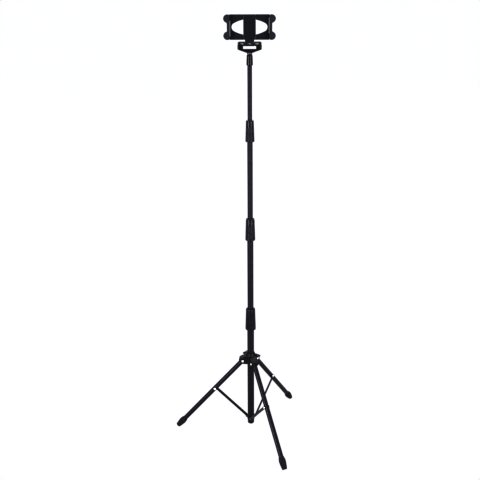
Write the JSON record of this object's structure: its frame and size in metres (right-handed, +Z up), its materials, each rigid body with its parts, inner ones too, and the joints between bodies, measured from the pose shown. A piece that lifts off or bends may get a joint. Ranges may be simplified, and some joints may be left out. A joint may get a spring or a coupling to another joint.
{
  "type": "tablet floor stand",
  "caption": "Black floor stand with a folding tripod base, a telescopic pole with twist grips, and a tilting sprung holder that clamps a phone or small tablet.",
  "frame": {"origin": "on the floor, on the pole axis", "axes": "+Z up along the pole; the holder faces -Y"},
  "size_m": [0.4413, 0.4816, 1.4612],
  "materials": {
    "pole_paint": "satin black powder coat on steel tube and strip",
    "black_plastic": "fine matt moulded black",
    "gloss_black": "polished moulded black",
    "black_rubber": "matt black rubber",
    "nylon": "natural moulded nylon, hidden inside the locks",
    "plated_steel": "bright nickel plate"
  },
  "bodies": {
    "base": {"tube_4": "pole_paint", "tube_cap": "black_plastic", "brace_clip": "black_plastic", "clip_rivets": "plated_steel", "collet_3": "nylon"},
    "grip_low": {"grip_3": "black_rubber"},
    "section_3": {"tube_3": "pole_paint", "guide_plug_3": "nylon", "collet_2": "nylon"},
    "grip_mid": {"grip_2": "black_rubber"},
    "section_2": {"tube_2": "pole_paint", "guide_plug_2": "nylon", "collet_1": "nylon"},
    "grip_top": {"grip_1": "black_rubber"},
    "section_1": {"tube_1": "pole_paint", "guide_plug_1": "nylon", "socket": "gloss_black"},
    "hub_body": {"hub": "black_plastic", "hub_rivets": "plated_steel"},
    "thumb_rear": {"screw_rear": "plated_steel", "wing_rear": "black_plastic"},
    "thumb_side": {"screw_side": "plated_steel", "wing_side": "black_plastic"},
    "swivel": {"swivel_pin": "plated_steel", "yoke": "gloss_black", "tilt_bolt": "plated_steel", "tilt_nut": "plated_steel"},
    "holder": {"spine_back_shell": "black_plastic", "spine_cover": "black_plastic", "spine_screws": "plated_steel", "spring_left": "plated_steel", "spring_right": "plated_steel"},
    "jaw_slide_left": {"slide_left": "black_plastic", "jaw_left": "black_rubber", "pad_left": "black_rubber"},
    "jaw_slide_right": {"slide_right": "black_plastic", "jaw_right": "black_rubber", "pad_right": "black_rubber"},
    "brace_arm_left": {"brace_left": "pole_paint"},
    "leg_arm_left": {"leg_left": "pole_paint", "foot_left": "black_rubber", "leg_rivet_left": "plated_steel"},
    "brace_arm_rear": {"brace_rear": "pole_paint"},
    "leg_arm_rear": {"leg_rear": "pole_paint", "foot_rear": "black_rubber", "leg_rivet_rear": "plated_steel"},
    "brace_arm_front": {"brace_front": "pole_paint"},
    "leg_arm_front": {"leg_front": "pole_paint", "foot_front": "black_rubber", "leg_rivet_front": "plated_steel"}
  },
  "joints": [
    {"name": "fold_left", "type": "hinge", "parent": "base", "child": "brace_arm_left", "pos_m": [-0.01493, 0.00141, 0.05376], "axis": [0.0941, 0.9956, 0], "range_deg": [0, 38.8]},
    {"name": "leg_swing_left", "type": "hinge", "parent": "brace_arm_left", "child": "leg_arm_left", "pos_m": [-0.13063, 0.01235, 0.16519], "axis": [-0.0941, -0.9956, 0], "range_deg": [0, 76.86]},
    {"name": "fold_rear", "type": "hinge", "parent": "base", "child": "brace_arm_rear", "pos_m": [0.00869, 0.01223, 0.05376], "axis": [0.8151, -0.5793, 0], "range_deg": [0, 38.8]},
    {"name": "leg_swing_rear", "type": "hinge", "parent": "brace_arm_rear", "child": "leg_arm_rear", "pos_m": [0.07601, 0.10695, 0.16519], "axis": [-0.8151, 0.5793, 0], "range_deg": [0, 76.86]},
    {"name": "fold_front", "type": "hinge", "parent": "base", "child": "brace_arm_front", "pos_m": [0.00624, -0.01364, 0.05376], "axis": [-0.9092, -0.4163, 0], "range_deg": [0, 38.8]},
    {"name": "leg_swing_front", "type": "hinge", "parent": "brace_arm_front", "child": "leg_arm_front", "pos_m": [0.05462, -0.1193, 0.16519], "axis": [0.9092, 0.4163, 0], "range_deg": [0, 76.86]},
    {"name": "hub_rise", "type": "hinge", "parent": "leg_arm_left", "child": "hub_body", "pos_m": [-0.02788, 0.00264, 0.2835], "axis": [0.0941, 0.9956, 0], "range_deg": [0, 38.06]},
    {"name": "thumb_screw_rear", "type": "hinge", "parent": "hub_body", "child": "thumb_rear", "pos_m": [-0.01789, 0.02408, 0.303], "axis": [-0.5962, 0.8028, 0], "range_deg": [0, 360]},
    {"name": "thumb_screw_side", "type": "hinge", "parent": "hub_body", "child": "thumb_side", "pos_m": [0.02987, -0.00282, 0.303], "axis": [0.9956, -0.0941, 0], "range_deg": [0, 360]},
    {"name": "slide_3", "type": "slide", "parent": "base", "child": "section_3", "axis": [0, 0, 1], "range_m": [-0.246, 0]},
    {"name": "slide_2", "type": "slide", "parent": "section_3", "child": "section_2", "axis": [0, 0, 1], "range_m": [-0.254, 0]},
    {"name": "slide_1", "type": "slide", "parent": "section_2", "child": "section_1", "axis": [0, 0, 1], "range_m": [-0.166, 0]},
    {"name": "twist_low", "type": "hinge", "parent": "base", "child": "grip_low", "pos_m": [0, 0, 0.4455], "axis": [0, 0, 1], "range_deg": [0, 120]},
    {"name": "twist_mid", "type": "hinge", "parent": "section_3", "child": "grip_mid", "pos_m": [0, 0, 0.773], "axis": [0, 0, 1], "range_deg": [0, 120]},
    {"name": "twist_top", "type": "hinge", "parent": "section_2", "child": "grip_top", "pos_m": [0, 0, 1.104], "axis": [0, 0, 1], "range_deg": [0, 120]},
    {"name": "head_swivel", "type": "hinge", "parent": "section_1", "child": "swivel", "pos_m": [0, 0, 1.337], "axis": [0, 0, 1], "continuous": true},
    {"name": "holder_tilt", "type": "hinge", "parent": "swivel", "child": "holder", "pos_m": [0, 0, 1.3742], "axis": [1, 0, 0], "range_deg": [-90, 90]},
    {"name": "jaw_pull_left", "type": "slide", "parent": "holder", "child": "jaw_slide_left", "axis": [-1, 0, 0], "range_m": [0, 0.022], "stiffness_N_per_m": 300, "springref_m": -0.01, "deforming": ["spring_left"]},
    {"name": "jaw_pull_right", "type": "slide", "parent": "holder", "child": "jaw_slide_right", "axis": [1, 0, 0], "range_m": [0, 0.022], "stiffness_N_per_m": 300, "springref_m": -0.01, "deforming": ["spring_right"]}
  ],
  "couplings": [
    {"joint": "leg_swing_left", "follows": "fold_left", "ratio": 1.981},
    {"joint": "fold_rear", "follows": "fold_left", "ratio": 1},
    {"joint": "leg_swing_rear", "follows": "fold_left", "ratio": 1.981},
    {"joint": "fold_front", "follows": "fold_left", "ratio": 1},
    {"joint": "leg_swing_front", "follows": "fold_left", "ratio": 1.981},
    {"joint": "hub_rise", "follows": "fold_left", "ratio": 0.981}
  ]
}
